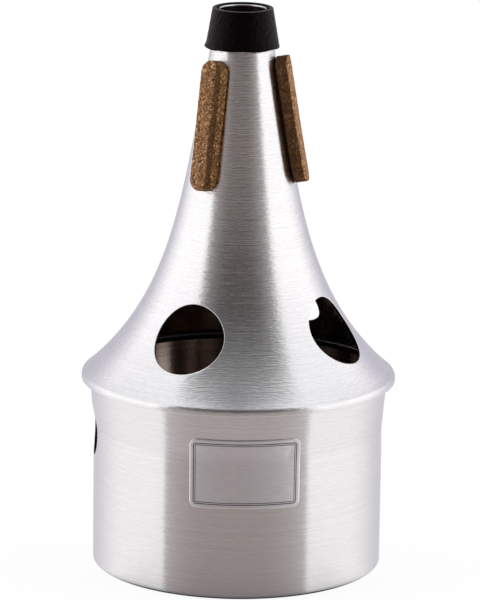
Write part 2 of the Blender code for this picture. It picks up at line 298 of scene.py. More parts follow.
def turned_piece(name, rows, radius_of, holes, hole_radius, materials):
    """Closed turned shell with round holes.

    Each row is (radius, height, slot of the faces below it, its height on the outer surface or
    None, depth under it). Rows that have that height can carry holes.
    """
    maker = MeshMaker()
    count = TURNED_STEPS
    azimuths = np.arange(count) * (math.tau / count) - math.pi
    lengths = arc_lengths([(row[0], row[1]) for row in rows])
    grid = []
    for (radius, height, *_rest), length in zip(rows, lengths):
        if radius < ON_AXIS:
            middle = maker.add_points([(0.0, 0.0, height)], [length])
            grid.append(middle * count)
            continue
        ring = np.stack(
            [radius * np.sin(azimuths), -radius * np.cos(azimuths), np.full(count, height)],
            axis=-1,
        )
        grid.append(maker.add_points(ring, [length] * count))

    step = math.tau / count
    outer = [index for index, row in enumerate(rows) if row[3] is not None and row[4] == 0.0]
    inner = [index for index, row in enumerate(rows) if row[3] is not None and row[4] > 0.0]
    blocks = []
    for azimuth, height in holes:
        reach = hole_radius + HOLE_PATCH
        half = reach / radius_of(height - 0.6 * hole_radius)
        left = int(math.floor((azimuth - half + math.pi) / step))
        right = int(math.ceil((azimuth + half + math.pi) / step))
        for group, depth in ((outer, 0.0), (inner, WALL)):
            inside = [index for index in group if abs(rows[index][3] - height) < reach]
            blocks.append((min(inside), max(inside), left, right, azimuth, height, depth))

    cleared = set()
    for top, bottom, left, right, *_rest in blocks:
        for row in range(top, bottom):
            for column in range(left, right):
                cleared.add((row, column % count))
    for row in range(len(rows)):
        after = (row + 1) % len(rows)
        for column in range(count):
            if (row, column) in cleared:
                continue
            beside = (column + 1) % count
            upper, lower = grid[row], grid[after]
            corners = [upper[column], lower[column], lower[beside], upper[beside]]
            maker.add_face(corners, rows[row][2])

    outlines = {}
    for top, bottom, left, right, azimuth, height, depth in blocks:
        span = slice(top, bottom + 1)
        if depth > 0.0:
            top, bottom = bottom, top
        border = block_border(top, bottom, left, right)
        border_index = [grid[row][column % count] for row, column in border]
        turn = np.array([-math.pi + column * step for _, column in border])
        level = np.array([rows[row][3] for row, _ in border])
        slant = math.hypot(1.0, slope_at(radius_of, height, MM))
        sideways = (turn - azimuth) * radius_of(height)
        if depth == 0.0:
            outlines[(azimuth, "angles")] = np.arctan2((level - height) * slant, sideways)
        angles = outlines[(azimuth, "angles")]
        hole_edge = hole_radius + CUT_EDGE
        round_turn, round_level = hole_outline(radius_of, (azimuth, height), angles, hole_edge, depth)
        row_levels = np.array([row[3] for row in rows[span]])
        row_lengths = lengths[span]
        order = np.argsort(row_levels)
        previous = border_index
        slot = SLOT_OUTSIDE if depth == 0.0 else SLOT_INSIDE
        for share in HOLE_RING_SHARES:
            ring_turn = turn + (round_turn - turn) * share
            ring_level = level + (round_level - level) * share
            points = surface_point(radius_of, ring_turn, ring_level, depth)
            along = np.interp(ring_level, row_levels[order], row_lengths[order])
            ring = maker.add_points(points, along)
            maker.bridge(previous, ring, slot, flip=depth > 0.0)
            previous = ring
        outlines[(azimuth, depth)] = previous
    for azimuth, height in holes:
        angles = outlines[(azimuth, "angles")]
        previous = outlines[(azimuth, 0.0)]
        # The holes' walls are painted almost black, as painted shade
        for radius, depth, slot in (
            (hole_radius + 0.3 * CUT_EDGE, 0.3 * CUT_EDGE, SLOT_EDGE),
            (hole_radius, CUT_EDGE, SLOT_EDGE),
            (hole_radius, WALL - CUT_EDGE, SLOT_DARK),
        ):
            turn, level = hole_outline(radius_of, (azimuth, height), angles, radius, depth)
            points = surface_point(radius_of, turn, level, depth)
            ring = maker.add_points(points, [lengths[0]] * len(points))
            maker.bridge(previous, ring, slot)
            previous = ring
        maker.bridge(previous, outlines[(azimuth, WALL)], SLOT_DARK)
    return maker.build(name, materials)


def offset_row(radius_of, height, depth, slot):
    """Profile row at a depth under a turned surface."""
    point = surface_point(radius_of, np.array(0.0), np.array(height), depth)
    return (float(-point[1]), float(point[2]), slot, height, depth)


def flare_rows():
    """Closed profile of the flare: outside from the neck to the lip, then the inside up again."""
    rows = []
    top = CONE_TOP - NECK_ROUNDING
    bend_top = LIP_BASE + LIP_BEND_START
    shares = np.linspace(0.0, 1.0, 96)
    heights = bend_top + (top - bend_top) * (1.0 - shares) ** 1.35
    for height in heights:
        rows.append(offset_row(flare_radius, float(height), 0.0, SLOT_OUTSIDE))
    lean = math.atan(-slope_at(flare_radius, bend_top))
    tilt = math.degrees(lean)
    bend = LIP_BEND_RADIUS
    centre = (rows[-1][0] - bend * math.cos(lean), rows[-1][1] - bend * math.sin(lean))
    curl = arc_points(centre, bend, tilt, LIP_FACE_ANGLE, 14)
    for radius, height in curl[1:]:
        rows.append((radius, height, SLOT_OUTSIDE, None, 0.0))
    face_radius, face_top = curl[-1]
    for height in np.linspace(face_top, LIP_EDGE + CUT_EDGE, 4)[1:]:
        rows.append((face_radius, float(height), SLOT_OUTSIDE, None, 0.0))
    rows[-1] = rows[-1][:2] + (SLOT_EDGE, None, 0.0)
    rows.append((face_radius - 0.3 * CUT_EDGE, LIP_EDGE + 0.3 * CUT_EDGE, SLOT_EDGE, None, 0.0))
    rows.append((face_radius - CUT_EDGE, LIP_EDGE, SLOT_EDGE, None, 0.0))
    rows.append((face_radius - WALL + CUT_EDGE, LIP_EDGE, SLOT_EDGE, None, 0.0))
    rows.append((face_radius - WALL, LIP_EDGE + CUT_EDGE, SLOT_INSIDE, None, 0.0))
    for radius, height in arc_points(centre, bend - WALL, LIP_FACE_ANGLE, tilt, 6):
        rows.append((radius, height, SLOT_INSIDE, None, 0.0))
    for height in heights[::-1][1:]:
        slot = SLOT_INSIDE if height > RIM_HEIGHT + JOINT_BAND else SLOT_DARK
        if height > CONE_TOP - BRIGHT_BORE:
            slot = SLOT_EDGE
        rows.append(offset_row(flare_radius, float(height), WALL, slot))
    inner = (rows[-1][0] + NECK_ROUNDING, top)
    for radius, height in arc_points(inner, NECK_ROUNDING, 180.0, 90.0, 6)[1:]:
        rows.append((radius, height, SLOT_EDGE, None, 0.0))
    # The neck's top and outer rounding are painted almost black, as painted shade
    rows[-1] = rows[-1][:2] + (SLOT_DARK, None, 0.0)
    outer = (rows[0][0] - NECK_ROUNDING, top)
    for radius, height in arc_points(outer, NECK_ROUNDING, 90.0, 0.0, 4)[:-1]:
        rows.append((radius, height, SLOT_DARK, None, 0.0))
    return rows


def bucket_rows():
    """Closed profile of the bucket: outside from the rim to the base, then the inside up again."""
    rim = RIM_HEIGHT - 0.05 * MM
    heights = np.concatenate([
        np.linspace(rim, COLLAR_START + 2.0 * MM, 24)[:-1],
        np.linspace(COLLAR_START + 2.0 * MM, COLLAR_START - 2.0 * MM, 12)[:-1],
        np.linspace(COLLAR_START - 2.0 * MM, BASE_EDGE_RADIUS, 46),
    ])
    rows = [offset_row(bucket_radius, float(height), 0.0, SLOT_OUTSIDE) for height in heights]
    corner = (BUCKET_RADIUS - BASE_EDGE_RADIUS, BASE_EDGE_RADIUS)
    for radius, height in arc_points(corner, BASE_EDGE_RADIUS, 0.0, -90.0, 8)[1:]:
        rows.append((radius, height, SLOT_OUTSIDE, None, 0.0))
    for radius in np.linspace(corner[0], 0.0, 26)[1:]:
        rows.append((float(radius), 0.0, SLOT_OUTSIDE, None, 0.0))
    rows[-1] = (0.0, 0.0, SLOT_INSIDE, None, 0.0)
    for radius in np.linspace(0.0, BUCKET_RADIUS - 2.0 * WALL, 14):
        rows.append((float(radius), WALL, SLOT_INSIDE, None, 0.0))
    centre = (BUCKET_RADIUS - 2.0 * WALL, 2.0 * WALL)
    for radius, height in arc_points(centre, WALL, -90.0, 0.0, 6)[1:]:
        rows.append((radius, height, SLOT_INSIDE, None, 0.0))
    for height in heights[::-1]:
        if height > 2.4 * WALL:
            slot = SLOT_INSIDE if height < RIM_HEIGHT - JOINT_BAND else SLOT_DARK
            rows.append(offset_row(bucket_radius, float(height), WALL, slot))
    return rows


def turned_sleeve(material):
    """Rubber sleeve with worn, slightly wavy edges."""
    maker = MeshMaker()
    azimuths = np.arange(SLEEVE_STEPS) * (math.tau / SLEEVE_STEPS)
    edge = SLEEVE_EDGE
    top = SLEEVE_TOP - edge
    bottom = SLEEVE_BOTTOM + edge
    rows = []
    for level in np.linspace(top, bottom, 26):
        rows.append((float(flare_radius(level)) + SLEEVE_GAP + SLEEVE_WALL, float(level), 1.0))
    low = float(flare_radius(SLEEVE_BOTTOM)) + SLEEVE_GAP + SLEEVE_WALL
    for radius, height in arc_points((low - edge, bottom), edge, 0.0, -90.0, 5)[1:]:
        rows.append((radius, height, 0.8))
    low_in = float(flare_radius(SLEEVE_BOTTOM)) + SLEEVE_GAP
    rows.append((low_in + edge, SLEEVE_BOTTOM, 0.5))
    for level in np.linspace(bottom, top, 12):
        rows.append((float(flare_radius(level)) + SLEEVE_GAP, float(level), 0.0))
    high = float(flare_radius(top)) + SLEEVE_GAP
    rows.append((high + edge, SLEEVE_TOP, 0.4))
    for radius, height in arc_points((high + SLEEVE_WALL - edge, top), edge, 90.0, 0.0, 5)[:-1]:
        rows.append((radius, height, 0.8))
    lengths = arc_lengths([(row[0], row[1]) for row in rows])
    grid = []
    for (radius, height, rough), length in zip(rows, lengths):
        ring = []
        for azimuth in azimuths:
            direction = Vector((math.sin(azimuth), -math.cos(azimuth), 0.0))
            place = direction * radius + Vector((0.0, 0.0, height))
            grain = noise.noise(place * 1400.0) * 0.035 + noise.noise(place * 420.0) * 0.05
            inset = rough * (0.03 + grain) * MM
            upper = max(0.0, 1.0 - (SLEEVE_TOP - height) / SLEEVE_WAVE_REACH)
            wave = upper * SLEEVE_BACK_RISE * max(0.0, -math.cos(azimuth))
            lower = max(0.0, 1.0 - (height - SLEEVE_BOTTOM) / SLEEVE_WAVE_REACH)
            if lower > 0.0:
                sway = noise.noise(Vector((math.sin(azimuth), math.cos(azimuth), 0.3)) * 2.6)
                wave = lower * (0.22 + 0.32 * sway) * MM
                inset -= rough * lower * lower * SLEEVE_FLICK * max(0.0, -math.sin(azimuth)) ** 2
            ring.append(place - direction * inset + Vector((0.0, 0.0, wave)))
        grid.append(maker.add_points(ring, [length] * SLEEVE_STEPS))
    for row in range(len(grid)):
        maker.bridge(grid[row], grid[(row + 1) % len(grid)], 0)
    return maker.build("sleeve_detail", [material])


def pill_point(half_width, straight, quarter, share):
    """Point on the outline of a strip with round ends, at a share of one of its four parts."""
    if quarter % 2 == 0:
        side = 1.0 if quarter == 0 else -1.0
        return (side * half_width, side * (share - 0.5) * straight)
    angle = math.pi * (share + 0.5 * (quarter - 1))
    end = 0.5 * straight if quarter == 1 else -0.5 * straight
    return (half_width * math.cos(angle), end + half_width * math.sin(angle))


def cork_strip(index, materials):
    """Strip of pressed cork with round ends and crumbling edges, glued along the cone."""
    length, top, turn, lean = CORK_STRIPS[index]
    azimuth, lean = math.radians(turn), math.radians(lean)
    maker = MeshMaker()
    half = 0.5 * CORK_WIDTH
    straight = length - CORK_WIDTH
    outline = []
    for quarter in range(4):
        steps = CORK_STRAIGHT_STEPS if quarter % 2 == 0 else CORK_END_STEPS
        outline += [(quarter, step / steps) for step in range(steps)]

    softness = CORK_ROUNDING
    profile = []
    inner = -0.5 * CORK_THICKNESS
    outer = 0.5 * CORK_THICKNESS
    back_edge = 0.35 * MM
    for inset in np.linspace(half - 0.25 * MM, back_edge, 7):
        profile.append((float(inset), inner, 0.0, 0.0))
    for angle in (30.0, 60.0, 90.0):
        bend = math.radians(angle)
        inset = back_edge * (1.0 - math.sin(bend))
        profile.append((inset, inner + back_edge * (1.0 - math.cos(bend)), 0.5, 0.0))
    for level in np.linspace(inner + back_edge, outer - softness, 9)[1:]:
        profile.append((0.0, float(level), 1.0, 0.0))
    for angle in (15.0, 30.0, 45.0, 60.0, 75.0, 90.0):
        bend = math.radians(angle)
        inset = softness * (1.0 - math.cos(bend))
        profile.append((inset, outer - softness * (1.0 - math.sin(bend)), 1.5, min(1.0, angle / 60.0)))
    for inset in np.linspace(softness, half - 0.25 * MM, 11)[1:]:
        profile.append((float(inset), outer, 1.0, 1.0))

    outward = Vector((math.sin(azimuth), -math.cos(azimuth), 0.0))
    across = Vector((math.cos(azimuth), math.sin(azimuth), 0.0))
    middle_depth = CORK_GAP + 0.5 * CORK_THICKNESS
    steepness = 1.0 / math.hypot(1.0, slope_at(flare_radius, top))

    def bend_on_cone(x, y, z):
        sideways = x * math.cos(lean) + y * math.sin(lean)
        upwards = y * math.cos(lean) - x * math.sin(lean)
        height = top - (0.5 * length - upwards) * steepness
        point = surface_point(flare_radius, np.array(0.0), np.array(height), -(middle_depth + z))
        return outward * float(-point[1]) + across * sideways + Vector((0.0, 0.0, float(point[2])))

    def paleness_with_painted_light(x):
        """Share of the pale look across the strip, with painted light: it is painted paler towards one
        long edge, as if lit from that side. A value under 0 is a painted dark ridge of shade along the
        crease.
        """
        # Painted light: paler towards one long edge, then painted shade past the ridge start
        over = (x / half - CORK_PAINTED_RIDGE_STARTS[index]) / 0.2
        if over < 0.0:
            return 0.84 - 0.16 * x / half
        return 0.8 - 1.8 * min(1.0, over)

    seed = Vector((3.1 * index, 7.7, 1.9))
    rings = []
    for inset, level, rough, sanded_and_painted_shade in profile:
        ring = []
        shades = []
        for quarter, share in outline:
            x, y = pill_point(half - inset, straight, quarter, share)
            # Sides and back take the strip's painted shade, and the outer face the painted light and
            # the painted dark ridge
            tone = CORK_SIDE_PAINTED_SHADES[index]
            shades.append(tone + (min(1.0, paleness_with_painted_light(x)) - tone) * sanded_and_painted_shade)
            flat = Vector((x, y, level))
            grain = noise.noise((flat + seed) * 900.0) + 0.6 * noise.noise((flat + seed) * 2100.0)
            chip = max(0.0, noise.noise((flat - seed) * 520.0) - 0.15) if rough > 1.2 else 0.0
            sink = rough * (0.03 + 0.045 * grain) * MM + chip * 0.5 * MM
            crown = CORK_CROWN * (1.0 - (x / half) ** 2) - CORK_CROWN_DROP
            towards = 1.0 if level > 0.0 else 0.35
            x -= sink * (x / half) * (1.0 if inset < 0.5 * MM else 0.1)
            if abs(y) > 0.5 * straight:
                beyond = (abs(y) - 0.5 * straight) / half
                y -= sink * beyond * math.copysign(1.0, y) * (1.0 if inset < 0.5 * MM else 0.1)
            z = level - sink * towards * (1.0 if level > outer - 1.2 * softness else 0.0)
            z += crown * max(0.0, level / outer) ** 4
            ring.append(bend_on_cone(x, y, z))
        rings.append(maker.add_points(ring, shades))
    for first, second in zip(rings, rings[1:]):
        maker.bridge(first, second, 0, flip=True)
    close_pill(maker, rings[0], True)
    close_pill(maker, rings[-1], False)
    return maker.build(f"cork_detail_{index + 1}", materials)


def close_pill(maker, ring, flip):
    """Faces across the narrow middle of a ring with round ends."""
    count = len(ring)
    far_side = 2 * CORK_STRAIGHT_STEPS + CORK_END_STEPS
    for step in range(CORK_STRAIGHT_STEPS):
        far = far_side - step
        corners = [ring[step], ring[step + 1], ring[(far - 1) % count], ring[far % count]]
        maker.add_face(corners[::-1] if flip else corners, 0)
    for start in (CORK_STRAIGHT_STEPS, far_side):
        fan = [ring[(start + step) % count] for step in range(CORK_END_STEPS + 1)]
        for step in range(1, CORK_END_STEPS):
            corners = [fan[0], fan[step], fan[step + 1]]
            maker.add_face(corners[::-1] if flip else corners, 0)


def label_plate(materials):
    """Thin blank plate with round corners, curved round the bucket's front."""
    maker = MeshMaker()
    soft = 0.08 * MM
    half_w = 0.5 * LABEL_WIDTH
    half_h = 0.5 * LABEL_HEIGHT
    centre = math.radians(LABEL_AZIMUTH)

    def outline_shift(x, y):
        """Pull a grid point onto the rounded outline, corner by corner."""
        over_x = abs(x) - (half_w - LABEL_CORNER)
        over_y = abs(y) - (half_h - LABEL_CORNER)
        if over_x <= 0.0 or over_y <= 0.0:
            return x, y
        scale = max(over_x, over_y) / math.hypot(over_x, over_y)
        return (
            math.copysign(half_w - LABEL_CORNER + over_x * scale, x),
            math.copysign(half_h - LABEL_CORNER + over_y * scale, y),
        )

    def spread(count, half):
        """Places of the grid lines, closer together at the round corners."""
        edge = half - LABEL_CORNER
        flat = np.linspace(-edge, edge, count - 2 * LABEL_CORNER_STEPS + 1)
        corner = np.linspace(0.0, LABEL_CORNER, LABEL_CORNER_STEPS + 1)[1:]
        return np.concatenate([(-edge - corner)[::-1], flat, edge + corner])

    xs = spread(LABEL_COLUMNS, half_w)
    ys = spread(LABEL_ROWS, half_h)

    def bend(x, y, stand_off):
        radius_mid = BUCKET_RADIUS + LABEL_GAP + 0.5 * LABEL_THICKNESS
        angle = centre + x / radius_mid
        height = LABEL_MIDDLE + y
        radius = float(bucket_radius(np.array(height))) + stand_off
        return (radius * math.sin(angle), -radius * math.cos(angle), height)

    def layer(stand_off, inset):
        """Rows of points at a distance from the bucket, drawn in from the outline."""
        rows = []
        for y in ys:
            points = []
            for px, py in (outline_shift(x, y) for x in xs):
                px *= 1.0 - inset / half_w
                py *= 1.0 - inset / half_h
                points.append(bend(px, py, stand_off))
            rows.append(maker.add_points(points, [0.0] * len(points)))
        return rows

    back = layer(LABEL_GAP, 0.0)
    front = layer(LABEL_GAP + LABEL_THICKNESS, soft)
    border = block_border(0, len(ys) - 1, 0, len(xs) - 1)
    edge_level = LABEL_GAP + LABEL_THICKNESS - soft
    edge_points = [bend(*outline_shift(xs[c], ys[r]), edge_level) for r, c in border]
    shoulder = maker.add_points(edge_points, [0.0] * len(border))
    for first, second in zip(front, front[1:]):
        maker.bridge(first, second, 0, flip=True, closed=False)
    for first, second in zip(back, back[1:]):
        maker.bridge(first, second, 0, flip=False, closed=False)
    maker.bridge([front[r][c] for r, c in border], shoulder, 0, flip=False)
    maker.bridge(shoulder, [back[r][c] for r, c in border], 0, flip=False)
    piece = maker.build("label_detail", materials)
    uv = piece.data.uv_layers.new(name="plate")
    flat = {}
    for r, y in enumerate(ys):
        for c, x in enumerate(xs):
            flat[front[r][c]] = flat[back[r][c]] = outline_shift(x, y)
    for index, (r, c) in zip(shoulder, border):
        flat[index] = flat[front[r][c]]
    for loop in piece.data.loops:
        x, y = flat[loop.vertex_index]
        uv.data[loop.index].uv = (x / LABEL_WIDTH + 0.5, y / LABEL_HEIGHT + 0.5)
    return piece


# Materials


class Graph:
    """Short calls for building a node tree."""

    def __init__(self, tree):
        self.tree = tree

    def node(self, kind, **settings):
        node = self.tree.nodes.new(kind)
        for key, value in settings.items():
            setattr(node, key, value)
        return node

    def plug(self, socket, value):
        if isinstance(value, bpy.types.NodeSocket):
            self.tree.links.new(value, socket)
        elif value is not None:
            socket.default_value = value

    def plug_all(self, node, values):
        """Plug values or sockets into a node's inputs, by their names."""
        for name, value in values.items():
            self.plug(node.inputs[name], value)

    def math(self, operation, first, second=None):
        node = self.node("ShaderNodeMath", operation=operation)
        self.plug(node.inputs[0], first)
        self.plug(node.inputs[1], second)
        return node.outputs[0]

    def plus(self, first, second):
        return self.math("ADD", first, second)

    def minus(self, first, second):
        return self.math("SUBTRACT", first, second)

    def times(self, first, second):
        return self.math("MULTIPLY", first, second)

    def distance(self, x, y):
        """Length of a flat vector."""
        return self.math("SQRT", self.plus(self.times(x, x), self.times(y, y)))

    def span(self, value, low, high, to_low=0.0, to_high=1.0, smooth=True):
        kind = "SMOOTHSTEP" if smooth else "LINEAR"
        node = self.node("ShaderNodeMapRange", interpolation_type=kind, clamp=True)
        for socket, number in zip(node.inputs, (value, low, high, to_low, to_high)):
            self.plug(socket, number)
        return node.outputs[0]

    def mix(self, share, first, second):
        node = self.node("ShaderNodeMix", data_type="RGBA")
        self.plug(node.inputs[0], share)
        self.plug(node.inputs[6], colour(first))
        self.plug(node.inputs[7], colour(second))
        return node.outputs[2]

    def combine(self, x, y, z):
        node = self.node("ShaderNodeCombineXYZ")
        for socket, value in zip(node.inputs, (x, y, z)):
            self.plug(socket, value)
        return node.outputs[0]

    def separate(self, vector):
        node = self.node("ShaderNodeSeparateXYZ")
        self.plug(node.inputs[0], vector)
        return node.outputs

    def noise(self, vector, scale, detail=2.0, roughness=0.5):
        node = self.node("ShaderNodeTexNoise")
        values = {"Vector": vector, "Scale": scale, "Detail": detail, "Roughness": roughness}
        self.plug_all(node, values)
        return node.outputs[0]

    def cells(self, vector, scale, feature="F1"):
        node = self.node("ShaderNodeTexVoronoi", feature=feature)
        self.plug_all(node, {"Vector": vector, "Scale": scale})
        return node

    def ramp(self, value, stops):
        node = self.node("ShaderNodeValToRGB")
        elements = node.color_ramp.elements
        while len(elements) < len(stops):
            elements.new(1.0)
        for element, (position, shade) in zip(elements, stops):
            element.position = position
            element.color = colour(shade)
        self.plug(node.inputs[0], value)
        return node.outputs[0]

    def bump(self, height, distance, strength=1.0, normal=None):
        node = self.node("ShaderNodeBump")
        self.plug_all(node, {"Strength": strength, "Distance": distance, "Height": height})
        self.plug(node.inputs["Normal"], normal)
        return node.outputs[0]


def colour(value):
    """Colour with alpha from three numbers. A socket passes through."""
    return value if isinstance(value, bpy.types.NodeSocket) else (*value, 1.0)


def new_material(name):
    """Material with its shader, a graph and the object's own coordinates."""
    material = bpy.data.materials.new(name)
    material.use_nodes = True
    graph = Graph(material.node_tree)
    shader = material.node_tree.nodes["Principled BSDF"]
    place = graph.node("ShaderNodeTexCoord").outputs["Object"]
    return material, graph, shader, place


def point_value(graph):
    """The value that each point of a mesh carries for the looks."""
    return graph.node("ShaderNodeAttribute", attribute_name="arc").outputs["Fac"]


def brushed_coordinates(graph, place, around, along):
    """Coordinates for lines that run round the axis: cycles per metre around and along."""
    x, y, _z = graph.separate(place)
    arc = point_value(graph)
    return graph.combine(graph.times(x, around), graph.times(y, around), graph.times(arc, along))


def turned_grain(graph, shader, anisotropy):
    """Anisotropic highlight of metal that was brushed round its axis."""
    tangent = graph.node("ShaderNodeTangent", direction_type="RADIAL", axis="Z")
    graph.plug_all(shader, {
        "Anisotropic": anisotropy,
        "Anisotropic Rotation": 0.25,
        "Tangent": tangent.outputs[0],
    })


def spun_metal(name, streaks, grain, roughness, anisotropy, base_low, base_high):
    """Satin aluminium, turned on a lathe and brushed round the axis."""
    material, graph, shader, place = new_material(name)
    long_lines = graph.noise(brushed_coordinates(graph, place, 9.0, 1900.0), 1.0, 2.0, 0.6)
    short_lines = graph.noise(brushed_coordinates(graph, place, grain, 2600.0), 1.0, 2.0, 0.6)
    broad_lines = graph.noise(brushed_coordinates(graph, place, 6.0, 420.0), 1.0, 3.0, 0.6)
    patches = graph.noise(brushed_coordinates(graph, place, 240.0, 900.0), 1.0, 2.0, 0.5)
    bands = graph.noise(brushed_coordinates(graph, place, 3.0, 90.0), 1.0, 2.0, 0.5)
    smudge = graph.noise(place, 34.0, 3.0, 0.55)

    broken = graph.times(graph.minus(long_lines, 0.5), graph.span(patches, 0.38, 0.62, 0.0, 1.3))
    streak = graph.plus(graph.plus(broken, graph.minus(short_lines, 0.5)), 0.5)

    tone = graph.span(graph.plus(streak, graph.times(broad_lines, 0.3)), 0.35, 0.95)
    base = graph.mix(tone, base_low, base_high)
    warm = graph.span(smudge, 0.35, 0.75, 0.0, 0.2)
    rough = graph.span(bands, 0.3, 0.7, roughness - 0.02, roughness + 0.02, smooth=False)
    broad_bump = graph.bump(broad_lines, 0.02 * MM * streaks)
    graph.plug_all(shader, {
        "Base Color": graph.mix(warm, base, (0.87, 0.85, 0.84)),
        "Roughness": graph.plus(rough, graph.span(streak, 0.2, 0.8, -0.04, 0.04, smooth=False)),
        "Metallic": 1.0,
        "Normal": graph.bump(streak, 0.05 * MM * streaks, 1.0, broad_bump),
    })
    turned_grain(graph, shader, anisotropy)
    return material


def marked_surface(name, scale, detail, shades, roughness, depth, **settings):
    """Plain surface with small marks of a depth, for cut edges, and for the black band at the joint
    and the painted shade.
    """
    material, graph, shader, place = new_material(name)
    marks = graph.noise(place, scale, detail, 0.6)
    graph.plug_all(shader, {
        "Base Color": graph.mix(graph.span(marks, 0.3, 0.7), *shades),
        "Roughness": graph.span(marks, 0.3, 0.7, *roughness, smooth=False),
        "Normal": graph.bump(marks, depth, 0.5),
        **settings,
    })
    return material


def inside_metal():
    """Dull brown bare metal inside the shells."""
    material, graph, shader, place = new_material("inner_aluminium_detail")
    lines = graph.noise(brushed_coordinates(graph, place, 24.0, 520.0), 1.0, 4.0, 0.7)
    stain = graph.noise(place, 60.0, 4.0, 0.6)
    base = graph.mix(graph.span(lines, 0.3, 0.7), (0.34, 0.27, 0.23), (0.48, 0.385, 0.335))
    stained = graph.span(stain, 0.4, 0.8, 0.0, 0.35)
    graph.plug_all(shader, {
        "Base Color": graph.mix(stained, base, (0.26, 0.195, 0.16)),
        "Roughness": graph.span(lines, 0.3, 0.7, 0.14, 0.21, smooth=False),
        "Metallic": 1.0,
        "Normal": graph.bump(lines, 0.035 * MM),
    })
    turned_grain(graph, shader, 0.9)
    return material


def black_rubber():
    """Matt black rubber with a coarse grain."""
    material, graph, shader, place = new_material("black_rubber_detail")
    grain = graph.noise(place, 1700.0, 3.0, 0.7)
    coarse = graph.noise(place, 620.0, 3.0, 0.6)
    dust = graph.span(graph.noise(place, 1300.0, 3.0, 0.7), 0.54, 0.72)
    graph.plug_all(shader, {
        "Base Color": graph.mix(dust, (0.0001, 0.0001, 0.0001), (0.001, 0.0006, 0.0007)),
        "Roughness": graph.span(coarse, 0.3, 0.7, 0.24, 0.36, smooth=False),
        "Specular IOR Level": 0.08,
        "Specular Tint": (1.0, 0.7, 0.76, 1.0),
        "Sheen Weight": 0.03,
        "Sheen Tint": (1.0, 0.62, 0.7, 1.0),
        "Normal": graph.bump(grain, 0.22 * MM, 1.0, graph.bump(coarse, 0.4 * MM)),
    })
    return material


def pressed_cork():
    """Granulated cork: tan and brown crumbs pressed together, with dark gaps."""
    material, graph, shader, place = new_material("cork_grain_detail")
    shift = graph.node("ShaderNodeTexNoise")
    graph.plug_all(shift, {"Vector": place, "Scale": 900.0})
    scaled = graph.node("ShaderNodeVectorMath", operation="SCALE")
    graph.plug(scaled.inputs[0], shift.outputs["Color"])
    graph.plug(scaled.inputs["Scale"], 0.6 * MM)
    wobble = graph.node("ShaderNodeVectorMath", operation="ADD")
    graph.plug(wobble.inputs[0], place)
    graph.plug(wobble.inputs[1], scaled.outputs[0])
    bent = wobble.outputs[0]

    tone = graph.separate(graph.cells(bent, 1500.0).outputs["Color"])[0]
    gaps = graph.cells(bent, 1500.0, "DISTANCE_TO_EDGE").outputs["Distance"]
    sanded_and_painted_shade = point_value(graph)
    face = graph.ramp(tone, (
        (0.0, (0.15, 0.06, 0.02)),
        (0.2, (0.34, 0.155, 0.062)),
        (0.5, (0.55, 0.27, 0.115)),
        (0.8, (0.74, 0.41, 0.19)),
        (1.0, (0.93, 0.62, 0.34)),
    ))
    cut = graph.ramp(tone, (
        (0.0, (0.05, 0.019, 0.005)),
        (0.2, (0.15, 0.06, 0.016)),
        (0.5, (0.265, 0.116, 0.033)),
        (0.8, (0.42, 0.21, 0.07)),
        (1.0, (0.62, 0.36, 0.14)),
    ))
    # The point value picks the cut or the pale face colours, and its values under 0 are painted shade,
    # which turns the cork almost black
    base = graph.mix(graph.span(sanded_and_painted_shade, 0.0, 1.0, smooth=False), cut, face)
    darker = graph.span(sanded_and_painted_shade, 0.0, -1.0, 0.0, 0.72, smooth=False)
    base = graph.mix(darker, base, (0.05, 0.022, 0.007))
    small = graph.noise(place, 3400.0, 3.0, 0.65)
    base = graph.mix(graph.span(small, 0.36, 0.68, 0.0, 0.5), base, (0.16, 0.085, 0.04))
    base = graph.mix(graph.span(gaps, 0.02, 0.12, 0.7, 0.0), base, (0.07, 0.035, 0.016))
    pits = graph.span(graph.noise(place, 800.0, 2.0, 0.5), 0.62, 0.72)
    height = graph.minus(graph.span(gaps, 0.0, 0.15), pits)
    graph.plug_all(shader, {
        "Base Color": graph.mix(graph.times(pits, 0.75), base, (0.05, 0.026, 0.013)),
        "Roughness": 0.9,
        "Specular IOR Level": 0.25,
        "Normal": graph.bump(small, 0.08 * MM, 0.9, graph.bump(height, 0.14 * MM)),
    })
    return material


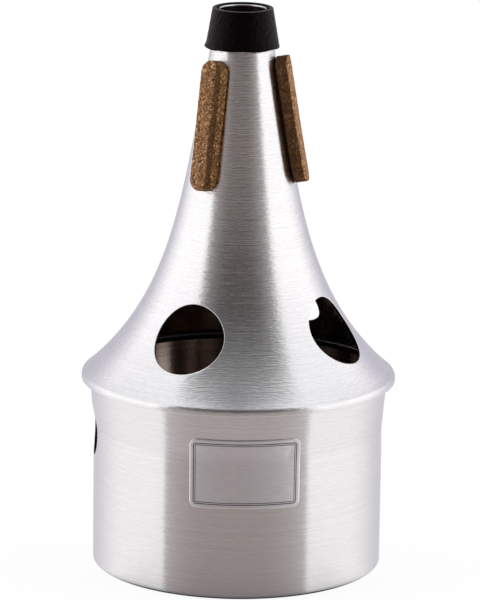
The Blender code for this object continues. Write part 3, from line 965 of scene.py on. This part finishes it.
def label_foil():
    """Thin brushed foil with a plain double border line."""
    material, graph, shader, place = new_material("label_foil_detail")
    uv = graph.node("ShaderNodeUVMap", uv_map="plate").outputs[0]
    u, v, _w = graph.separate(uv)

    def inward(share, size):
        """Distance in millimetres from the nearer one of two opposite edges."""
        off_middle = graph.math("ABSOLUTE", graph.minus(share, 0.5))
        return graph.times(graph.minus(0.5, off_middle), size / MM)

    inward_x = inward(u, LABEL_WIDTH)
    inward_y = inward(v, LABEL_HEIGHT)
    corner = LABEL_CORNER / MM
    over_x = graph.math("MAXIMUM", graph.minus(corner, inward_x), 0.0)
    over_y = graph.math("MAXIMUM", graph.minus(corner, inward_y), 0.0)
    round_part = graph.minus(corner, graph.distance(over_x, over_y))
    flat_part = graph.math("MINIMUM", graph.math("MINIMUM", inward_x, inward_y), corner)
    in_corner = graph.math("GREATER_THAN", graph.times(over_x, over_y), 0.0)
    elsewhere = graph.minus(1.0, in_corner)
    inside = graph.plus(graph.times(in_corner, round_part), graph.times(elsewhere, flat_part))

    def line(centre, half):
        off = graph.math("ABSOLUTE", graph.minus(inside, centre))
        return graph.span(off, half, half + 0.06, 1.0, 0.0)

    ink = graph.math("MAXIMUM", line(1.35, 0.14), line(1.95, 0.10))
    lines = graph.noise(brushed_coordinates(graph, place, 90.0, 0.0), 1.0, 2.0, 0.5)
    x, _y, z = graph.separate(place)
    across = graph.combine(graph.times(x, 260.0), 0.0, graph.times(z, 1700.0))
    grain = graph.noise(across, 1.0, 3.0, 0.65)
    tone = graph.plus(graph.times(grain, 0.75), graph.times(lines, 0.25))
    base = graph.mix(graph.span(tone, 0.3, 0.7), (0.88, 0.87, 0.91), (0.98, 0.97, 1.0))
    wear = graph.span(graph.noise(place, 2300.0, 3.0, 0.6), 0.6, 0.75, 0.0, 0.35)
    ink = graph.times(ink, graph.minus(1.0, wear))
    graph.plug_all(shader, {
        "Base Color": graph.mix(ink, base, (0.05, 0.042, 0.045)),
        "Roughness": graph.span(tone, 0.3, 0.7, 0.40, 0.50, smooth=False),
        "Metallic": graph.minus(1.0, graph.times(ink, 0.85)),
        "Normal": graph.bump(grain, 0.01 * MM),
    })
    turned_grain(graph, shader, 0.5)
    return material


# Studio


def studio_world():
    """Two bright side panels, a dim gap in front and a lavender backdrop, white to the camera."""
    world = bpy.data.worlds.new("studio")
    world.use_nodes = True
    bpy.context.scene.world = world
    graph = Graph(world.node_tree)
    background = world.node_tree.nodes["Background"]
    direction = graph.node("ShaderNodeTexCoord").outputs["Generated"]
    x, y, z = graph.separate(direction)
    turn = graph.times(graph.math("ARCTAN2", x, graph.times(y, -1.0)), math.degrees(1.0))
    azimuth = graph.math("ABSOLUTE", graph.plus(turn, 1.0))
    on_right = graph.math("GREATER_THAN", turn, 0.0)
    elevation = graph.times(graph.math("ARCSINE", z), math.degrees(1.0))

    edge = graph.plus(54.0, graph.span(elevation, 38.0, 66.0, 0.0, 19.0))
    edge = graph.plus(edge, graph.span(elevation, 2.0, -20.0, 0.0, 4.5))
    past_edge = graph.minus(azimuth, edge)
    blur = graph.span(elevation, -5.0, 1.0, 1.0, 3.5)
    panel = graph.span(past_edge, graph.minus(0.75, blur), graph.plus(0.75, blur))
    near_edge = graph.span(past_edge, -45.0, 0.0, smooth=False)
    spill = graph.node("ShaderNodeMix", data_type="FLOAT")
    graph.plug(spill.inputs[0], on_right)
    graph.plug(spill.inputs[2], graph.times(graph.math("POWER", near_edge, 2.6), 0.27))
    graph.plug(spill.inputs[3], graph.times(graph.math("POWER", near_edge, 2.2), 0.30))

    level = graph.span(elevation, -90.0, 90.0, 0.0, 1.0, smooth=False)

    def at(degrees):
        return (degrees + 90.0) / 180.0

    gap = graph.ramp(level, (
        (0.0, (0.42, 0.39, 0.39)),
        (at(-40.0), (0.58, 0.53, 0.53)),
        (at(-27.0), (0.44, 0.39, 0.385)),
        (at(-17.0), (0.34, 0.295, 0.288)),
        (at(2.0), (0.235, 0.205, 0.187)),
        (at(16.0), (0.127, 0.112, 0.106)),
        (at(25.0), (0.082, 0.073, 0.071)),
        (at(34.0), (0.036, 0.032, 0.032)),
        (at(50.0), (0.112, 0.11, 0.111)),
        (at(64.0), (0.185, 0.184, 0.187)),
        (at(76.0), (0.42, 0.42, 0.425)),
        (at(84.0), (0.10, 0.10, 0.10)),
        (1.0, (0.04, 0.04, 0.04)),
    ))
    side = graph.ramp(level, (
        (0.0, (0.80, 0.79, 0.81)),
        (at(-30.0), (0.95, 0.93, 0.94)),
        (at(-16.0), (0.97, 0.955, 0.96)),
        (at(5.0), (1.21, 1.19, 1.20)),
        (at(20.0), (1.12, 1.11, 1.13)),
        (at(35.0), (0.98, 0.975, 0.99)),
        (at(45.0), (0.95, 0.95, 0.965)),
        (at(70.0), (1.0, 1.0, 1.015)),
        (1.0, (0.50, 0.50, 0.51)),
    ))
    back = graph.span(azimuth, graph.span(elevation, 5.0, 35.0, 100.0, 125.0), 160.0)
    low_down = graph.span(elevation, 0.0, -16.0)
    backdrop = graph.mix(low_down, (0.56, 0.545, 0.62), (0.66, 0.645, 0.70))
    side = graph.mix(back, side, backdrop)
    studio = graph.mix(panel, graph.mix(spill.outputs[0], gap, side), side)

    path = graph.node("ShaderNodeLightPath").outputs
    seen = graph.math("MAXIMUM", path["Is Camera Ray"], path["Is Transmission Ray"])
    graph.plug_all(background, {
        "Color": graph.mix(seen, studio, (1.0, 1.0, 1.0)),
        "Strength": graph.span(path["Is Diffuse Ray"], 0.0, 1.0, 1.0, 1.65, smooth=False),
    })


def studio_floor():
    """Pale floor that looks white and keeps a faint shadow. To reflections it is see-through, with a
    painted contact shadow round the base, darkest in front.
    """
    mesh = bpy.data.meshes.new("floor")
    half = 6.0
    corners = [(-half, -half, 0.0), (half, -half, 0.0), (half, half, 0.0), (-half, half, 0.0)]
    mesh.from_pydata(corners, [], [(0, 1, 2, 3)])
    floor = bpy.data.objects.new("floor", mesh)
    bpy.context.scene.collection.objects.link(floor)
    floor.location.z = -0.02 * MM
    material = bpy.data.materials.new("pale_floor")
    material.use_nodes = True
    material.node_tree.nodes.clear()
    graph = Graph(material.node_tree)
    place = graph.node("ShaderNodeTexCoord").outputs["Object"]
    glow = graph.node("ShaderNodeEmission")
    graph.plug_all(glow, {"Color": (1.0, 1.0, 1.0, 1.0), "Strength": 0.9})
    matt = graph.node("ShaderNodeBsdfDiffuse")
    grain = graph.noise(place, 90.0, 2.0)
    graph.plug(matt.inputs["Color"], graph.mix(grain, (0.115, 0.115, 0.115), (0.125, 0.125, 0.125)))
    both = graph.node("ShaderNodeAddShader")
    graph.plug(both.inputs[0], glow.outputs[0])
    graph.plug(both.inputs[1], matt.outputs[0])
    clear = graph.node("ShaderNodeBsdfTransparent")
    x, y, _z = graph.separate(place)
    radius = graph.distance(x, y)
    towards_front = graph.math("DIVIDE", graph.times(y, -1.0), radius)
    front = graph.span(towards_front, 0.35, 0.85)
    # Painted contact shadow: the see-through floor darkens the reflected studio close to the base,
    # most in front
    painted_contact_shade = graph.ramp(graph.math("DIVIDE", radius, 250.0 * MM), (
        (0.20, (0.02, 0.02, 0.05)),
        (0.206, (0.35, 0.35, 0.38)),
        (0.215, (0.66, 0.66, 0.66)),
        (0.24, (0.72, 0.72, 0.72)),
        (0.28, (0.80, 0.80, 0.80)),
        (0.34, (0.87, 0.87, 0.87)),
        (0.52, (0.92, 0.92, 0.92)),
        (1.0, (1.0, 1.0, 1.0)),
    ))
    graph.plug(clear.inputs["Color"], graph.mix(front, (0.97, 0.97, 0.97), painted_contact_shade))
    pick = graph.node("ShaderNodeMixShader")
    graph.plug(pick.inputs[0], graph.node("ShaderNodeLightPath").outputs["Is Camera Ray"])
    graph.plug(pick.inputs[1], clear.outputs[0])
    graph.plug(pick.inputs[2], both.outputs[0])
    output = graph.node("ShaderNodeOutputMaterial")
    graph.plug(output.inputs["Surface"], pick.outputs[0])
    mesh.materials.append(material)


def photo_camera():
    """Camera at the photograph's place, from the shapes that it shows."""
    down = math.radians(CAMERA_DOWN)
    roll = math.radians(CAMERA_ROLL)
    forward = Vector((0.0, math.cos(down), -math.sin(down)))
    level_up = Vector((0.0, math.sin(down), math.cos(down)))
    side = Vector((1.0, 0.0, 0.0))
    right = side * math.cos(roll) + level_up * math.sin(roll)
    up = level_up * math.cos(roll) - side * math.sin(roll)
    data = bpy.data.cameras.new("photo_camera")
    data.sensor_fit = "AUTO"
    data.sensor_width = SENSOR_WIDTH
    data.lens = SENSOR_WIDTH * FOCAL_PIXELS / FRAME_PIXELS
    data.shift_x = SHIFT_PIXELS / FRAME_PIXELS
    data.clip_end = 60.0
    camera = bpy.data.objects.new("photo_camera", data)
    turned = Matrix((right, up, -forward)).transposed().to_4x4()
    camera.matrix_world = Matrix.Translation(Vector(CAMERA_PLACE) * MM) @ turned
    bpy.context.scene.collection.objects.link(camera)
    bpy.context.scene.camera = camera


def holes_round(azimuth, height, count):
    """Azimuth in radians and height of each of a ring's evenly spaced holes."""
    return [(math.radians(azimuth + 360.0 / count * index), height) for index in range(count)]


def main():
    cone_metal = spun_metal(
        "spun_cone_detail", streaks=1.6, grain=420.0, roughness=0.22, anisotropy=0.85,
        base_low=(0.83, 0.82, 0.825), base_high=(0.95, 0.94, 0.95),
    )
    bucket_metal = spun_metal(
        "spun_bucket_detail", streaks=0.6, grain=240.0, roughness=0.16, anisotropy=0.8,
        base_low=(0.85, 0.84, 0.845), base_high=(0.915, 0.905, 0.91),
    )
    cut_metal = marked_surface(
        "cut_aluminium_detail", 2600.0, 2.0, ((0.84, 0.83, 0.84), (0.96, 0.95, 0.96)),
        (0.22, 0.34), 0.01 * MM, **{"Metallic": 1.0},
    )
    # Almost black, for the band at the joint and for painted shade on the holes' walls and the neck's
    # end
    black_band_and_painted_shade = marked_surface(
        "black_band_and_painted_shade_detail", 900.0, 3.0, ((0.003, 0.002, 0.002), (0.009, 0.007, 0.007)),
        (0.6, 0.8), 0.02 * MM, **{"Specular IOR Level": 0.08},
    )
    shared = [cut_metal, inside_metal(), black_band_and_painted_shade]
    flare_holes = holes_round(FLARE_HOLE_AZIMUTH, FLARE_HOLE_HEIGHT, FLARE_HOLE_COUNT)
    flare = turned_piece("flare_detail", flare_rows(), flare_radius, flare_holes,
                         0.5 * FLARE_HOLE_DIAMETER, [cone_metal, *shared])
    side_holes = holes_round(SIDE_HOLE_AZIMUTH, SIDE_HOLE_HEIGHT, SIDE_HOLE_COUNT)
    bucket = turned_piece("bucket_detail", bucket_rows(), bucket_radius, side_holes,
                          0.5 * SIDE_HOLE_DIAMETER, [bucket_metal, *shared])
    sleeve = turned_sleeve(black_rubber())
    label = label_plate([label_foil()])
    pairs = [(flare, "flare", "spun_aluminium"), (bucket, "bucket", "spun_aluminium"),
             (sleeve, "end_sleeve", "black_rubber"), (label, "label_plate", "label_foil")]
    cork = pressed_cork()
    for index in range(len(CORK_STRIPS)):
        pairs.append((cork_strip(index, [cork]), f"cork_strip_{index + 1}", "cork"))
    for piece, node, slot in pairs:
        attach(piece, "root")
        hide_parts(node)

    studio_world()
    studio_floor()
    photo_camera()
    bpy.context.scene.view_settings.view_transform = "Standard"


main()
